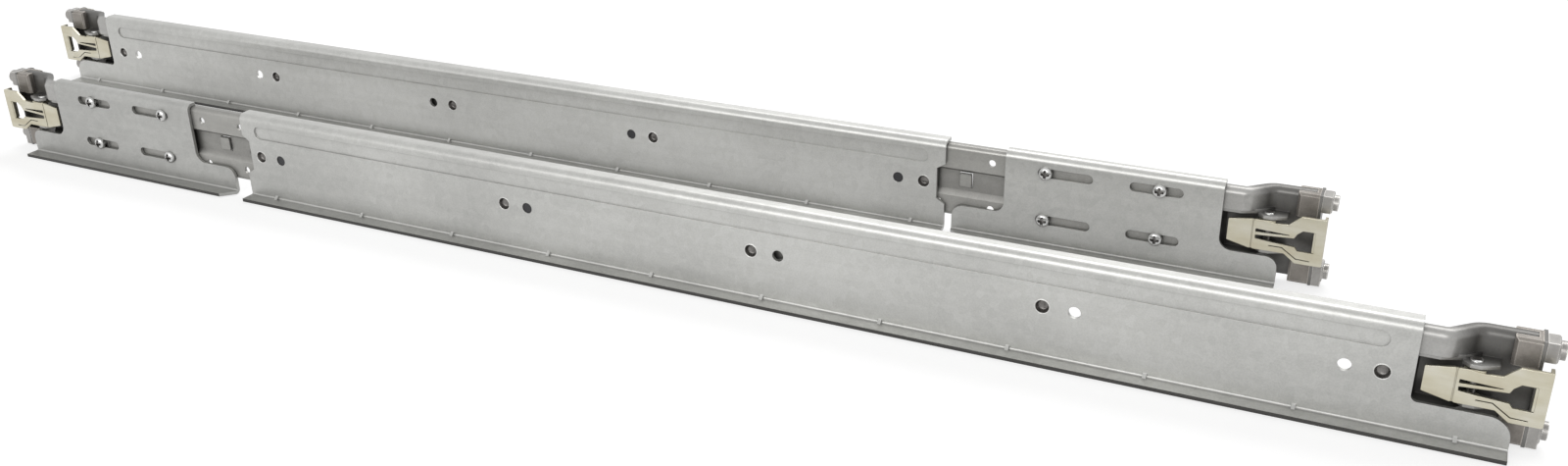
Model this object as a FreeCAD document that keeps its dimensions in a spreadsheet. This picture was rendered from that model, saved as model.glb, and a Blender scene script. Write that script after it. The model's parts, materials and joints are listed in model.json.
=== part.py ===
import FreeCAD, Part
import math
import os
import Sketcher

# A pair of rack rails that carry a 1U server on their foot flanges, one right-hand and
# one left-hand.  X runs along the rails, Z up, and Y across them, away from the server.
# The right rail is drawn in full: its front end points to +X and its server side looks
# to -Y.  The left rail is its mirror image, with its front end at -X.
# Every size lives in the "Sizes" sheet; the drawing functions below carry each
# number together with its sheet formula, so that every feature stays bound to it.

SIZES = [
    # overall
    ("rail_height", 44.0), ("channel_centre", 24.7), ("server_face", -56.5), ("rail_gap", 101.0),
    ("end_mirror", 38.7), ("left_shift", 6.3), ("sheet_steel", 1.6),
    # long front rail and short rear bracket, both a Z section with a foot for the server
    ("rail_back", -166.5), ("rail_window", 375.6), ("rail_front", 408.9),
    ("bracket_back", -322.9), ("bracket_window", -297.9), ("bracket_edge", -201.4),
    ("bracket_front", -176.6), ("strip_top", 13.6), ("foot_width", 7.0),
    ("rail_top_width", 7.5), ("bracket_top_width", 5.5), ("top_roll", 3.4), ("foot_roll", 2.4),
    ("strip_corner", 8.0), ("strip_back_corner", 5.0), ("step_corner", 5.5), ("foot_cut", 6.0),
    # holes, dimples, stiffening bead and gussets of the front rail
    ("hole_line", 22.9), ("hole_radius", 2.5), ("hole_pitch", 12.7), ("hole_first", -143.3),
    ("hole_second", 3.0), ("hole_step", 126.0), ("hole_last", 352.5), ("dimple_radius", 2.8),
    ("dimple_bottom", 2.0), ("dimple_depth", 2.1), ("cup_steel", 0.9), ("bead_low", 32.5),
    ("bead_radius", 3.2), ("bead_start", -158.0), ("bead_end", 366.0), ("bead_depth", 0.6),
    ("gusset_first", -150.0), ("gusset_step", 54.2), ("gusset_leg", 1.6), ("gusset_width", 1.6),
    ("notch_depth", 4.0), ("notch_low", 15.5), ("notch_high", 30.5), ("notch_slope", 2.6),
    # adjusting slots, screws and nuts of the rear bracket
    ("slot_one", -281.1), ("slot_one_end", -257.8), ("slot_two", -241.6), ("slot_two_end", -216.6),
    ("slot_radius", 2.2), ("row_offset", 11.4), ("screw_first", -271.0), ("screw_step", 50.8),
    ("screw_radius", 1.95), ("screw_head", 3.5), ("screw_head_height", 2.3), ("nut_half", 3.3),
    ("nut_height", 2.4), ("pad_half", 3.5),
    # telescoping channel and the guide blocks that hold it to the front rail
    ("channel_back", -283.6), ("channel_front", 242.0), ("channel_steel", 1.3),
    ("slide_gap", 0.2), ("recess_depth", 1.8), ("recess_half", 4.8), ("recess_slope", 1.4),
    ("recess_low_slope", 2.6), ("recess_thicker", 0.6), ("pad_height", 0.5),
    ("channel_half", 17.6), ("channel_depth", 6.0), ("channel_roll", 2.2),
    ("small_hole_radius", 1.7), ("small_hole_first", -194.6), ("small_hole_step", 25.4),
    ("tab_middle", -182.0), ("tab_half", 3.2), ("tab_low", 21.5), ("tab_high", 29.1),
    ("tab_lift", 0.8), ("tab_slit", 0.4), ("guide_slot_start", -167.2), ("guide_slot_end", 121.5),
    ("guide_slot_half", 2.5), ("block_neck_half", 2.3), ("block_head_half", 4.6),
    ("block_head", 5.1), ("block_back", 6.6), ("block_lead", 2.0), ("block_margin", 4.0), ("peg_radius", 2.4),
    # rack ends: frame, blocks and lugs
    ("frame_steel", 1.4), ("arm_start", 369.0), ("jog_start", 382.7), ("jog_end", 396.4),
    ("jog_radius", 6.0), ("jog_back_radius", 5.0), ("arm_roll", 3.0),
    ("pocket_start", 370.2), ("pocket_end", 376.4), ("pocket_lean", 0.7), ("web_face", 10.3), ("end_inner", 413.0), ("end_outer", 414.2),
    ("end_near", 7.0), ("end_far", 19.0), ("end_top", 41.9), ("end_bottom", 0.3),
    ("arm_top", 41.8), ("arm_low", 32.0), ("lower_arm_top", 10.5), ("lower_arm_low", 2.2),
    ("arm_flange", 4.3), ("hole_high_z", 38.1), ("hole_low_z", 6.35), ("hole_column", 11.0),
    ("lug_half", 3.8), ("lug_length", 4.2), ("lug_tip", 6.2), ("lug_tip_radius", 3.4),
    ("lug_shank", 2.2), ("lug_ledge", 2.3), ("lug_chamfer", 0.5), ("block_start", 404.4),
    ("block_solid", 411.5), ("block_far", 17.0), ("block_low", 31.3), ("block_high", 10.4),
    # rack ends: spring latch and its pin
    ("pin_x", 394.0), ("pin_y", 6.0), ("pin_radius", 1.5), ("pin_play", 0.05),
    ("ear_radius", 4.4), ("ear_high", 29.9), ("ear_low", 14.4), ("ear_end", 401.5),
    ("latch_steel", 1.2), ("latch_face", 0.6), ("latch_tab", 378.2), ("latch_fold", 388.2),
    ("latch_end", 417.8), ("latch_top", 33.8), ("latch_foot", 12.3), ("latch_neck_top", 29.7),
    ("latch_neck_low", 16.0), ("latch_tab_top", 28.3), ("latch_tab_low", 18.4),
    ("latch_rise", 402.2), ("latch_wide", 407.0), ("hook_depth", 4.4),
    ("fold_width", 0.8), ("fold_depth", 0.35),
    ("wing_radius", 3.5), ("wing_high", 28.5), ("wing_low", 16.0),
    ("spring_start", 390.8), ("spring_end", 404.5), ("spring_top", 25.2), ("spring_gap", 1.1),
    ("spring_low", 20.4), ("spring_low_gap", 2.3),
    ("latch_window", 408.2), ("latch_window_end", 413.8), ("latch_window_low", 18.2),
    ("latch_window_top", 28.3),
]

SIDES = (-1, 1)
GUSSETS = 11
GUIDED_HOLES = 2
X_AXIS = FreeCAD.Vector(1, 0, 0)
Z_AXIS = FreeCAD.Vector(0, 0, 1)

doc = FreeCAD.newDocument("server_rails")
sheet = doc.addObject("Spreadsheet::Sheet", "Sizes")
for row, (alias, number) in enumerate(SIZES, start=1):
    sheet.set(f"A{row}", alias)
    sheet.set(f"B{row}", str(number))
    sheet.setAlias(f"B{row}", alias)
doc.recompute()


class Size:
    """A length that keeps the sheet formula it was worked out from."""

    def __init__(self, text, value):
        self.text = text
        self.value = value

    def __add__(self, other):
        other = as_size(other)
        return Size(f"({self.text} + {other.text})", self.value + other.value)

    def __sub__(self, other):
        other = as_size(other)
        return Size(f"({self.text} - {other.text})", self.value - other.value)

    def __mul__(self, factor):
        return Size(f"({self.text} * {factor})", self.value * factor)

    def __radd__(self, other):
        return as_size(other) + self

    def __rsub__(self, other):
        return as_size(other) - self

    def __neg__(self):
        return Size(f"(0 - {self.text})", -self.value)


def as_size(number):
    if isinstance(number, Size):
        return number
    return Size(f"({number})", float(number))


class Sheet:
    """Gives each alias of the sheet as a Size, as in S.rail_height."""

    def __init__(self, table):
        for alias, number in table:
            setattr(self, alias, Size(f"Sizes.{alias}", float(number)))


S = Sheet(SIZES)


# ---------------------------------------------------------------- drawing helpers

def new_body(label):
    body = doc.addObject("PartDesign::Body", label)
    body.Label = label
    return body


def set_size(obj, prop, size):
    size = as_size(size)
    obj.setExpression(prop, size.text)


def new_sketch(body, role, name, offset):
    """A sketch on one of the body's own planes, moved along the plane's normal."""
    sketch = body.newObject("Sketcher::SketchObject", f"{body.Label}_{name}_sketch")
    plane = [f for f in body.Origin.OriginFeatures if f.Role == role][0]
    sketch.AttachmentSupport = [(plane, "")]
    sketch.MapMode = "FlatFace"
    set_size(sketch, "AttachmentOffset.Base.z", offset)
    return sketch


def pin_point(sketch, geo, pos, x, y):
    """Fixes one point of a sketch at (x, y) from the origin, by the sheet."""
    for kind, size in (("DistanceX", as_size(x)), ("DistanceY", as_size(y))):
        index = sketch.addConstraint(Sketcher.Constraint(kind, -1, 1, geo, pos, size.value))
        sketch.setExpression(f"Constraints[{index}]", size.text)


def pin_radius(sketch, geo, size):
    size = as_size(size)
    index = sketch.addConstraint(Sketcher.Constraint("Radius", geo, size.value))
    sketch.setExpression(f"Constraints[{index}]", size.text)


def vector(x, y):
    return FreeCAD.Vector(as_size(x).value, as_size(y).value, 0)


def polygon(sketch, points):
    """A closed outline through the points, each of them fixed."""
    count = len(points)
    first = None
    for i in range(count):
        start = points[i]
        end = points[(i + 1) % count]
        geo = sketch.addGeometry(Part.LineSegment(vector(*start), vector(*end)), False)
        if first is None:
            first = geo
    for i in range(count):
        following = first + (i + 1) % count
        sketch.addConstraint(Sketcher.Constraint("Coincident", first + i, 2, following, 1))
    for i, point in enumerate(points):
        pin_point(sketch, first + i, 1, *point)


def box_outline(sketch, x0, y0, x1, y1):
    polygon(sketch, [(x0, y0), (x1, y0), (x1, y1), (x0, y1)])


def circle(sketch, x, y, radius):
    shape = Part.Circle(vector(x, y), Z_AXIS, as_size(radius).value)
    geo = sketch.addGeometry(shape, False)
    pin_point(sketch, geo, 3, x, y)
    pin_radius(sketch, geo, radius)


def octagon(sketch, x, y, half):
    """An eight-sided outline with flats at half from its middle."""
    short = half * 0.4142
    polygon(sketch, [
        (x - half, y - short), (x - short, y - half), (x + short, y - half), (x + half, y - short),
        (x + half, y + short), (x + short, y + half), (x - short, y + half), (x - half, y + short),
    ])


def discs(places, radius):
    """Draws a circle at each of the places."""
    def draw(sketch):
        for x, y in places:
            circle(sketch, x, y, radius)
    return draw


def squares(places, half):
    """Draws a square about each of the places."""
    def draw(sketch):
        for x, y in places:
            box_outline(sketch, x - half, y - half, x + half, y + half)
    return draw


def slot(sketch, x0, x1, y, radius):
    """A level slot with round ends, x0 and x1 being its outermost points."""
    radius = as_size(radius)
    left = as_size(x0) + radius
    right = as_size(x1) - radius
    quarter = math.pi / 2
    left_arc = Part.ArcOfCircle(Part.Circle(vector(left, y), Z_AXIS, radius.value), quarter, 3 * quarter)
    right_arc = Part.ArcOfCircle(Part.Circle(vector(right, y), Z_AXIS, radius.value), -quarter, quarter)
    a = sketch.addGeometry(left_arc, False)
    b = sketch.addGeometry(right_arc, False)
    low = Part.LineSegment(vector(left, y - radius), vector(right, y - radius))
    high = Part.LineSegment(vector(right, y + radius), vector(left, y + radius))
    c = sketch.addGeometry(low, False)
    d = sketch.addGeometry(high, False)
    for join in ((a, 2, c, 1), (c, 2, b, 1), (b, 2, d, 1), (d, 2, a, 1)):
        sketch.addConstraint(Sketcher.Constraint("Tangent", *join))
    pin_point(sketch, a, 3, left, y)
    pin_point(sketch, b, 3, right, y)
    pin_radius(sketch, a, radius)


def slab(body, role, name, low, high, draw):
    """Adds material between low and high along the plane's axis."""
    low = as_size(low)
    high = as_size(high)
    offset = -high if role == "XZ_Plane" else low
    sketch = new_sketch(body, role, name, offset)
    draw(sketch)
    pad = body.newObject("PartDesign::Pad", f"{body.Label}_{name}")
    pad.Profile = sketch
    set_size(pad, "Length", high - low)
    return pad


def cut(body, role, name, low, high, draw):
    """Takes material away between low and high along the plane's axis."""
    low = as_size(low)
    high = as_size(high)
    offset = -low if role == "XZ_Plane" else high
    sketch = new_sketch(body, role, name, offset)
    draw(sketch)
    pocket = body.newObject("PartDesign::Pocket", f"{body.Label}_{name}")
    pocket.Profile = sketch
    set_size(pocket, "Length", high - low)
    return pocket


def edges_at(shape, places):
    """Names of the edges whose two ends both lie at the given places."""
    names = []
    for i, edge in enumerate(shape.Edges, start=1):
        if len(edge.Vertexes) != 2:
            continue
        ends = [v.Point for v in edge.Vertexes]
        if all(abs(getattr(p, axis) - as_size(at).value) < 0.01
               for axis, at in places.items() for p in ends):
            names.append(f"Edge{i}")
    return names


def round_edges(body, name, radius, *places, kind="Fillet"):
    """Fillets or chamfers the edges of the body's last feature that lie at the given places."""
    doc.recompute()
    base = body.Tip
    names = []
    for place in places:
        names += edges_at(base.Shape, place)
    dress = body.newObject(f"PartDesign::{kind}", f"{body.Label}_{name}")
    dress.Base = (base, names)
    set_size(dress, "Radius" if kind == "Fillet" else "Size", radius)
    return dress


def z_section(top_width):
    """Foot towards the server, web, and a top flange rolled away from it."""
    steel = S.sheet_steel
    top = S.rail_height
    return [
        (-S.foot_width, 0), (steel, 0), (steel, top - steel), (top_width, top - steel),
        (top_width, top), (0, top), (0, steel), (-S.foot_width, steel),
    ]


def roll_z_section(body):
    """Rounds the bends of a Z section."""
    steel = S.sheet_steel
    top = S.rail_height
    round_edges(body, "outer_bends", S.top_roll, dict(y=0, z=top))
    round_edges(body, "top_inside", S.top_roll - steel, dict(y=steel, z=top - steel))
    round_edges(body, "foot_outside", S.foot_roll, dict(y=steel, z=0))
    round_edges(body, "foot_inside", S.foot_roll - steel, dict(y=0, z=steel))


# ---------------------------------------------------------------- formed sheet parts

def make_front_rail():
    body = new_body("right_front_rail")
    steel = S.sheet_steel
    section = z_section(S.rail_top_width)
    slab(body, "YZ_Plane", "section", S.rail_back, S.rail_front, lambda s: polygon(s, section))
    roll_z_section(body)
    wide = S.foot_width + 2
    cut(body, "XZ_Plane", "latch_window", -wide, wide,
        lambda s: box_outline(s, S.rail_window, S.strip_top, S.rail_front + 1, S.rail_height + 1))
    round_edges(body, "strip_end", S.strip_corner, dict(x=S.rail_front, z=S.strip_top))
    round_edges(body, "window_corner", S.foot_roll, dict(x=S.rail_window, z=S.strip_top))
    notch = [
        (S.rail_back - 1, S.notch_low - S.notch_slope), (S.rail_back, S.notch_low - S.notch_slope),
        (S.rail_back + S.notch_depth, S.notch_low), (S.rail_back + S.notch_depth, S.notch_high),
        (S.rail_back, S.notch_high + S.notch_slope), (S.rail_back - 1, S.notch_high + S.notch_slope),
    ]
    cut(body, "XZ_Plane", "notch", -1, steel + 1, lambda s: polygon(s, notch))

    def draw_holes(sketch):
        for x in hole_places():
            circle(sketch, x, S.hole_line, S.hole_radius)
    cut(body, "XZ_Plane", "holes", -1, steel + 1, draw_holes)
    bead_middle = S.bead_low + S.bead_radius
    cut(body, "XZ_Plane", "bead", -1, S.bead_depth,
        lambda s: slot(s, S.bead_start, S.bead_end, bead_middle, S.bead_radius))
    add_dimples(body)
    leg = S.gusset_leg
    corner = [(0, steel - 0.2), (-leg, steel - 0.2), (-leg, steel), (0, steel + leg),
              (0.2, steel + leg), (0.2, steel - 0.2)]
    half = S.gusset_width * 0.5
    gusset = slab(body, "YZ_Plane", "gusset", S.gusset_first - half, S.gusset_first + half,
                  lambda s: polygon(s, corner))
    pattern = body.newObject("PartDesign::LinearPattern", "right_front_rail_gussets")
    pattern.Originals = [gusset]
    axis = [f for f in body.Origin.OriginFeatures if f.Role == "X_Axis"][0]
    pattern.Direction = (axis, [""])
    pattern.Occurrences = GUSSETS
    set_size(pattern, "Length", S.gusset_step * (GUSSETS - 1))
    body.Tip = pattern
    return body


def hole_places():
    """X of the five round holes of the front rail."""
    middle = [S.hole_second + S.hole_step * i for i in range(3)]
    return [S.hole_first] + middle + [S.hole_last]


def dimple_places():
    """X of the five pressed dimples, one beside each hole."""
    places = hole_places()
    return [x - S.hole_pitch for x in places[:-1]] + [places[-1] + S.hole_pitch]


def add_dimples(body):
    """Each dimple is a round hollow in front and the cup that it pushes out behind."""
    cup = S.dimple_radius + 0.3

    def draw_cups(sketch):
        for x in dimple_places():
            octagon(sketch, x, S.hole_line, cup)
    slab(body, "XZ_Plane", "cups", S.sheet_steel - 0.1, S.dimple_depth + S.cup_steel, draw_cups)
    profile = [(0, -1), (0, S.dimple_depth), (S.dimple_bottom, S.dimple_depth),
               (S.dimple_radius, 0), (S.dimple_radius, -1)]
    for i, x in enumerate(dimple_places(), start=1):
        sketch = new_sketch(body, "XY_Plane", f"dimple_{i}", S.hole_line)
        polygon(sketch, [(x + radius, depth) for radius, depth in profile])
        hollow = body.newObject("PartDesign::Groove", f"right_front_rail_dimple_{i}")
        hollow.Profile = sketch
        hollow.ReferenceAxis = (sketch, ["Edge1"])
        hollow.Angle = 360


def make_rear_bracket():
    body = new_body("right_rear_bracket")
    steel = S.sheet_steel
    section = z_section(S.bracket_top_width)
    slab(body, "YZ_Plane", "section", S.bracket_back, S.bracket_front, lambda s: polygon(s, section))
    roll_z_section(body)
    wide = S.foot_width + 2
    above = S.rail_height + 1
    cut(body, "XZ_Plane", "latch_window", -wide, wide,
        lambda s: box_outline(s, S.bracket_back - 1, S.strip_top, S.bracket_window, above))
    cut(body, "XZ_Plane", "step", -wide, wide,
        lambda s: box_outline(s, S.bracket_edge, S.strip_top, S.bracket_front + 1, above))
    round_edges(body, "strip_end", S.strip_back_corner, dict(x=S.bracket_back, z=S.strip_top),
                dict(x=S.bracket_edge, z=S.strip_top))
    round_edges(body, "step_end", S.step_corner, dict(x=S.bracket_front, z=S.strip_top),
                dict(x=S.bracket_window, z=S.strip_top))

    def draw_slots(sketch):
        for side in SIDES:
            row = S.channel_centre + S.row_offset * side
            slot(sketch, S.slot_one, S.slot_one_end, row, S.slot_radius)
            slot(sketch, S.slot_two, S.slot_two_end, row, S.slot_radius)
    cut(body, "XZ_Plane", "slots", -1, steel + 1, draw_slots)
    corner = [(S.bracket_front + 1, -S.foot_width - 1), (S.bracket_front + 1, -S.foot_width + S.foot_cut),
              (S.bracket_front, -S.foot_width + S.foot_cut),
              (S.bracket_front - S.foot_cut - 1, -S.foot_width - 1)]
    cut(body, "XY_Plane", "foot_corner", -1, steel + 1, lambda s: polygon(s, corner))
    return body


# ---------------------------------------------------------------- telescoping channel

def channel_section():
    """A shallow C whose web is set back in the middle, to clear what stands behind the rail."""
    land = S.sheet_steel + S.slide_gap

    def half(side, slope):
        steel = S.channel_steel
        web = land + S.recess_depth
        bend = S.recess_half + slope
        inside = S.channel_half - steel
        points = [
            (web, S.recess_half), (land, bend), (land, S.channel_half),
            (S.channel_depth, S.channel_half), (S.channel_depth, inside), (land + steel, inside),
            (land + steel, bend + S.recess_thicker), (web + steel, S.recess_half + S.recess_thicker),
        ]
        return [(y, S.channel_centre + z * side) for y, z in points]
    return half(1, S.recess_slope) + half(-1, S.recess_low_slope)[::-1]


def screw_places():
    """Where the four screws pass through the bracket's slots, as (X, Z)."""
    return [(S.screw_first + S.screw_step * i, S.channel_centre + S.row_offset * side)
            for side in SIDES for i in range(2)]


def make_channel():
    body = new_body("right_channel")
    steel = S.channel_steel
    land = S.sheet_steel + S.slide_gap
    web = land + S.recess_depth
    section = channel_section()
    slab(body, "YZ_Plane", "section", S.channel_back, S.channel_front, lambda s: polygon(s, section))
    low = S.channel_centre - S.channel_half
    high = S.channel_centre + S.channel_half
    round_edges(body, "rolls", S.channel_roll, dict(y=land, z=low), dict(y=land, z=high))
    round_edges(body, "roll_insides", S.channel_roll - steel, dict(y=land + steel, z=low + steel),
                dict(y=land + steel, z=high - steel))
    slab(body, "XZ_Plane", "pads", S.sheet_steel, S.sheet_steel + S.pad_height,
         squares(screw_places(), S.pad_half))
    behind = S.channel_depth + 1
    cut(body, "XZ_Plane", "screw_holes", 0, behind, discs(screw_places(), S.screw_radius))
    small_holes = [(S.small_hole_first + S.small_hole_step * i, S.channel_centre + S.row_offset * side)
                   for side in SIDES for i in range(2)]
    cut(body, "XZ_Plane", "small_holes", 0, behind, discs(small_holes, S.small_hole_radius))
    cut(body, "XZ_Plane", "guide_slot", 0, behind,
        lambda s: slot(s, S.guide_slot_start, S.guide_slot_end, S.hole_line, S.guide_slot_half))
    x0 = S.tab_middle - S.tab_half
    x1 = S.tab_middle + S.tab_half
    cut(body, "XZ_Plane", "tab_window", 0, behind,
        lambda s: box_outline(s, x0, S.tab_low, x1, S.tab_high))
    root = S.tab_low - S.tab_slit
    tip = S.tab_high - S.tab_slit
    tongue = [(web, root), (web + steel, root), (web + steel - S.tab_lift, tip), (web - S.tab_lift, tip)]
    slab(body, "YZ_Plane", "stop_tab", x0 + S.tab_slit, x1 - S.tab_slit, lambda s: polygon(s, tongue))
    return body


def make_screws():
    """Four pan-head screws, through the bracket's slots and the channel into the nuts."""
    body = new_body("right_bracket_screws")
    reach = S.sheet_steel + S.slide_gap + S.channel_steel + S.nut_height
    slab(body, "XZ_Plane", "shanks", 0, reach, discs(screw_places(), S.screw_radius))
    slab(body, "XZ_Plane", "heads", -S.screw_head_height, 0, discs(screw_places(), S.screw_head))
    return body


def make_nuts():
    """Square nuts pressed into the back of the channel."""
    body = new_body("right_bracket_nuts")
    seat = S.sheet_steel + S.slide_gap + S.channel_steel
    slab(body, "XZ_Plane", "nuts", seat, seat + S.nut_height, squares(screw_places(), S.nut_half))
    cut(body, "XZ_Plane", "threads", seat - 1, seat + S.nut_height + 1,
        discs(screw_places(), S.screw_radius))
    return body


def make_guide_blocks():
    """Two T-shaped blocks behind the front rail that run in the channel's long slot."""
    body = new_body("right_guide_blocks")
    holes = hole_places()[:GUIDED_HOLES]
    dimples = dimple_places()[:GUIDED_HOLES]

    def blocks(half):
        def draw(sketch):
            for hole, dimple in zip(holes, dimples):
                box_outline(sketch, dimple - S.block_lead, S.hole_line - half,
                            hole + S.block_margin, S.hole_line + half)
        return draw
    seat = S.dimple_depth + S.cup_steel
    slab(body, "XZ_Plane", "necks", seat, S.block_back, blocks(S.block_neck_half))
    slab(body, "XZ_Plane", "heads", S.block_head, S.block_back, blocks(S.block_head_half))
    slab(body, "XZ_Plane", "pegs", 0.4, seat, discs([(x, S.hole_line) for x in holes], S.peg_radius))
    return body


# ---------------------------------------------------------------- rack end

def corner_arc(sketch, x, y, radius, start, end):
    """An arc about a fixed centre; the lines on both sides of it are made tangent to it."""
    radius = as_size(radius)
    whole = Part.Circle(vector(x, y), Z_AXIS, radius.value)
    geo = sketch.addGeometry(Part.ArcOfCircle(whole, start, end), False)
    pin_point(sketch, geo, 3, x, y)
    pin_radius(sketch, geo, radius)
    return geo


def line(sketch, x0, y0, x1, y1):
    start = FreeCAD.Vector(x0, y0, 0)
    return sketch.addGeometry(Part.LineSegment(start, FreeCAD.Vector(x1, y1, 0)), False)


def draw_jog(sketch):
    """Plan of an arm's face: straight behind the rail, then an S bend back to the web."""
    near = S.sheet_steel.value
    web = S.web_face.value
    low = S.jog_radius.value
    high = S.jog_back_radius.value
    run = S.jog_end.value - S.jog_start.value
    rise = web - high - near - low
    turn = math.atan2(rise, run) + math.asin((low + high) / math.hypot(run, rise))
    x1 = S.jog_start.value + low * math.sin(turn)
    y1 = near + low * (1 - math.cos(turn))
    x2 = S.jog_end.value - high * math.sin(turn)
    y2 = web - high * (1 - math.cos(turn))
    right = math.pi / 2
    first = line(sketch, S.arm_start.value, near, S.jog_start.value, near)
    bend = corner_arc(sketch, S.jog_start, S.sheet_steel + S.jog_radius, S.jog_radius,
                      -right, turn - right)
    slope = line(sketch, x1, y1, x2, y2)
    back = corner_arc(sketch, S.jog_end, S.web_face - S.jog_back_radius, S.jog_back_radius,
                      right, right + turn)
    last = line(sketch, S.jog_end.value, web, S.block_solid.value, web)
    for join in ((first, 2, bend, 1), (bend, 2, slope, 1), (slope, 2, back, 2), (back, 1, last, 1)):
        sketch.addConstraint(Sketcher.Constraint("Tangent", *join))
    pin_point(sketch, first, 1, S.arm_start, S.sheet_steel)
    pin_point(sketch, last, 2, S.block_solid, S.web_face)


def draw_rolled_arm(sketch):
    """Section of the upper arm: an upright wall whose top is rolled over into a lip."""
    near = S.sheet_steel
    steel = S.frame_steel
    roll = S.arm_roll
    top = S.arm_top
    centre = (near + roll, top - roll)
    left, level = (size.value for size in centre)
    low = S.arm_low.value
    outer = roll.value
    inner = outer - steel.value
    tip = near.value + S.arm_flange.value
    wall = line(sketch, left - outer, low, left - outer, level)
    big = corner_arc(sketch, *centre, roll, math.pi / 2, math.pi)
    lip = line(sketch, left, level + outer, tip, level + outer)
    end = line(sketch, tip, level + outer, tip, level + inner)
    under = line(sketch, tip, level + inner, left, level + inner)
    small = corner_arc(sketch, *centre, roll - steel, math.pi / 2, math.pi)
    inside = line(sketch, left - inner, level, left - inner, low)
    foot = line(sketch, left - inner, low, left - outer, low)
    for join in ((wall, 2, big, 2), (big, 1, lip, 1), (under, 2, small, 1), (small, 2, inside, 1)):
        sketch.addConstraint(Sketcher.Constraint("Tangent", *join))
    for join in ((lip, 2, end, 1), (end, 2, under, 1), (inside, 2, foot, 1), (foot, 2, wall, 1)):
        sketch.addConstraint(Sketcher.Constraint("Coincident", *join))
    pin_point(sketch, wall, 1, near, S.arm_low)
    pin_point(sketch, lip, 2, near + S.arm_flange, top)
    pin_point(sketch, under, 1, near + S.arm_flange, top - steel)
    pin_point(sketch, foot, 1, near + steel, S.arm_low)


def sweep(body, name, path, draw):
    """Adds a section drawn across the start of the path and swept along it."""
    sketch = new_sketch(body, "YZ_Plane", name, S.arm_start)
    draw(sketch)
    doc.recompute()
    pipe = body.newObject("PartDesign::AdditivePipe", f"{body.Label}_{name}")
    pipe.Profile = sketch
    pipe.Spine = (path, [f"Edge{i + 1}" for i in range(len(path.Geometry))])
    body.Tip = pipe
    return pipe


def pocket_plan():
    """Plan of the drawn pocket behind the latch, deeper than the arms above and below it."""
    near = S.sheet_steel
    steel = S.frame_steel
    return [
        (S.arm_start, near), (S.pocket_start, near), (S.pocket_end, S.web_face),
        (S.jog_end, S.web_face), (S.jog_end, S.web_face + steel),
        (S.pocket_end - S.pocket_lean, S.web_face + steel),
        (S.pocket_start - S.pocket_lean, near + steel), (S.arm_start, near + steel),
    ]


def pocket_edge_plan():
    """Plan of the walls that join the pocket to the arms above and below it."""
    inside = S.frame_steel * 0.5
    near = S.sheet_steel + inside
    return [
        (S.pocket_start, near), (S.jog_start, near), (S.jog_end - S.jog_radius, near + S.jog_radius * 0.5),
        (S.jog_end, S.web_face + inside), (S.pocket_end - S.pocket_lean, S.web_face + inside),
    ]


def make_front_frame():
    """One stamping: two jogged arms, the pocket and web between them, end plate and pivot ears."""
    body = new_body("right_front_frame")
    steel = S.frame_steel
    near = S.sheet_steel
    path = new_sketch(body, "XY_Plane", "path", 0)
    draw_jog(path)
    sweep(body, "upper_arm", path, draw_rolled_arm)
    sweep(body, "lower_arm", path,
          lambda s: box_outline(s, near, S.lower_arm_low, near + steel, S.lower_arm_top))
    slab(body, "XY_Plane", "pocket", S.lower_arm_top, S.arm_low, lambda s: polygon(s, pocket_plan()))
    slab(body, "XY_Plane", "pocket_top", S.arm_low - steel, S.arm_low + steel * 0.5,
         lambda s: polygon(s, pocket_edge_plan()))
    slab(body, "XY_Plane", "pocket_floor", S.lower_arm_top - steel * 0.5, S.lower_arm_top + steel,
         lambda s: polygon(s, pocket_edge_plan()))
    slab(body, "XY_Plane", "web", S.lower_arm_low, S.arm_top - S.arm_roll,
         lambda s: box_outline(s, S.jog_end, S.web_face, S.block_solid, S.web_face + steel))
    slab(body, "XY_Plane", "web_end", S.end_bottom + S.block_high, S.block_low,
         lambda s: box_outline(s, S.block_solid, S.web_face, S.end_inner, S.web_face + steel))
    slab(body, "YZ_Plane", "end_plate", S.end_inner, S.end_outer,
         lambda s: box_outline(s, S.end_near, S.end_bottom, S.end_far, S.end_top))
    round_edges(body, "plate_corners", S.foot_roll, dict(y=S.end_far, z=S.end_bottom),
                dict(y=S.end_far, z=S.end_top))
    for name, low in (("upper_ear", S.ear_high), ("lower_ear", S.ear_low)):
        slab(body, "XY_Plane", name, low, low + steel, draw_ear)
    cut(body, "XY_Plane", "pin_holes", S.ear_low - 1, S.ear_high + steel + 1,
        lambda s: circle(s, S.pin_x, S.pin_y, S.pin_radius))
    cut(body, "YZ_Plane", "shank_holes", S.end_inner - 1, S.end_outer + 1,
        squares(lug_places(), S.lug_shank))
    return body


def lug_places():
    """The two rack holes that the lugs fill, as (Y, Z)."""
    return [(S.hole_column, S.hole_low_z), (S.hole_column, S.hole_high_z)]


def draw_ear(sketch):
    """A tab from the web, rounded about the pivot pin."""
    rounded_tab(sketch, S.ear_radius, S.web_face + 0.2, S.ear_end)


def rounded_tab(sketch, radius, back, right):
    """Plan of a tab whose front is a half octagon about the pin."""
    short = radius * 0.42
    x = S.pin_x
    y = S.pin_y
    polygon(sketch, [
        (x - radius, back), (x - radius, y - short), (x - short, y - radius), (x + short, y - radius),
        (right, y - short), (right, back),
    ])


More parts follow.
